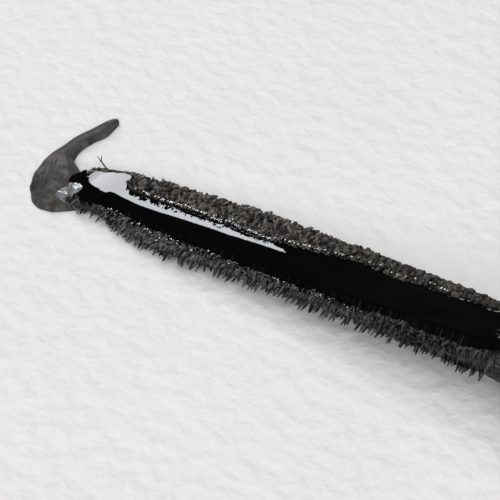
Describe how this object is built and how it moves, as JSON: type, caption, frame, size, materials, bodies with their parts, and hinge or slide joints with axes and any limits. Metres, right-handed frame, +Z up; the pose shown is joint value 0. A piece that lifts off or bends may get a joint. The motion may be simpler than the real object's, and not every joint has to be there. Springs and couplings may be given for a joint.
{
  "type": "brush pen",
  "caption": "Refillable brush pen with a cap posted on its barrel and a wet, splayed hair tuft bent sideways at the tip.",
  "frame": {"origin": "on the table under the middle of the overall length", "axes": "+X towards the cap end (tail), -X towards the tuft, +Y to the side the tuft hook points to, +Z up from the table"},
  "size_m": [0.172, 0.0144, 0.0157],
  "materials": {
    "black_lacquer": "moulded acrylic-type resin, polished black",
    "black_satin": "satin moulded plastic",
    "nozzle_black": "moulded, lightly worn gloss",
    "grip_rubber": "ribbed soft elastomer",
    "steel_trim": "fine brushed plated steel",
    "clip_steel": "polished plated spring steel",
    "ferrule_metal": "drawn thin brass tube",
    "seal_rubber": "nitrile rubber",
    "liner_white": "natural polypropylene",
    "resin_amber": "hair set in epoxy resin",
    "binding_thread": "waxed nylon thread",
    "wick_fibre": "ink-soaked polyester fibre rod",
    "feed_plastic": "etched moulded plastic",
    "spike_plastic": "natural moulded plastic",
    "cartridge_clear": "translucent polyethylene",
    "stopper_plastic": "soft moulded plug",
    "ink": "liquid black ink",
    "ball_steel": "stainless ball",
    "tuft_hair": "ink-soaked nylon and hair, wet black core with matt brown-black edges"
  },
  "bodies": {
    "barrel": {"barrel_shell": "black_lacquer", "post_ring": "seal_rubber", "tail_plug": "black_satin"},
    "carrier": {"spacer_ring": "steel_trim", "o_ring": "seal_rubber"},
    "section": {"section_shell": "black_satin", "grip_sleeve": "grip_rubber", "nozzle": "nozzle_black", "ferrule": "ferrule_metal", "tuft_root": "resin_amber", "root_binding": "binding_thread", "wick": "wick_fibre", "comb_feed": "feed_plastic", "cartridge_spike": "spike_plastic", "spike_gasket": "seal_rubber"},
    "tuft": {"tuft": "tuft_hair"},
    "cartridge": {"cartridge_body": "cartridge_clear", "cartridge_stopper": "stopper_plastic", "ink_charge": "ink"},
    "ball": {"agitator_ball": "ball_steel"},
    "cap": {"cap_shell": "black_lacquer", "cap_band": "steel_trim", "cap_liner": "liner_white", "clip_ring": "clip_steel", "finial": "steel_trim"},
    "clip": {"clip_arm": "clip_steel"}
  },
  "joints": [
    {"name": "section_travel", "type": "slide", "parent": "barrel", "child": "carrier", "axis": [-0.9996, 0, -0.03], "range_m": [0, 0.0075]},
    {"name": "section_turn", "type": "hinge", "parent": "carrier", "child": "section", "pos_m": [-0.05704, 0, 0.0037], "axis": [-0.9996, 0, -0.03], "range_deg": [0, 2161]},
    {"name": "tuft_sway", "type": "hinge", "parent": "section", "child": "tuft", "pos_m": [-0.06024, 0, 0.0036], "axis": [0, 0, 1], "range_deg": [-25, 25], "stiffness_Nm_per_rad": 0.0005},
    {"name": "cartridge_pull", "type": "slide", "parent": "section", "child": "cartridge", "axis": [0.9996, 0, 0.03], "range_m": [0, 0.012]},
    {"name": "ball_roll", "type": "slide", "parent": "cartridge", "child": "ball", "axis": [0.9996, 0, 0.03], "range_m": [0, 0.045]},
    {"name": "cap_pull", "type": "slide", "parent": "barrel", "child": "cap", "axis": [0.9996, 0, 0.03], "range_m": [0, 0.028]},
    {"name": "clip_flex", "type": "hinge", "parent": "cap", "child": "clip", "pos_m": [0.08311, 0, 0.01256], "axis": [0, 1, 0], "range_deg": [0, 6], "stiffness_Nm_per_rad": 0.5}
  ],
  "couplings": [
    {"joint": "section_turn", "follows": "section_travel", "rad_per_m": 5026.5}
  ]
}
